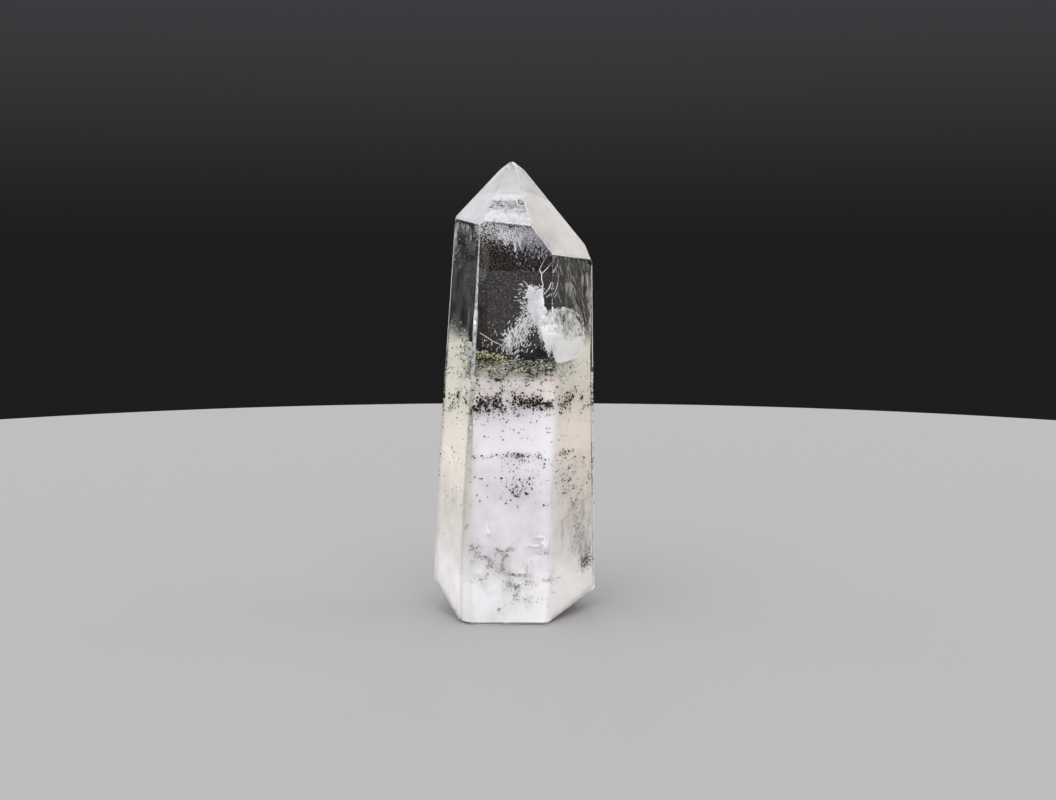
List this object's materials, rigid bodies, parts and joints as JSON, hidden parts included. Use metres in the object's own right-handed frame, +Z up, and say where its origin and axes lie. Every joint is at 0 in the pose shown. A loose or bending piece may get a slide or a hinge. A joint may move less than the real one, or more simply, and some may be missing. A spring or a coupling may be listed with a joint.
{
  "type": "garden quartz point",
  "caption": "Clear polished quartz tower with a six-sided tapering body and a faceted tip, green grains and a white veil inside, standing on a cut foot.",
  "frame": {"origin": "on the surface the crystal stands on, under the middle of its box", "axes": "+Z up along the crystal to its tip, -Y out of the broad front face, +X to the right of that face"},
  "size_m": [0.029, 0.0254, 0.08],
  "materials": {
    "clear_quartz": "polished",
    "green_chlorite": "matte",
    "white_veil": "matte"
  },
  "bodies": {
    "root": {"quartz_point": "clear_quartz"}
  },
  "joints": []
}
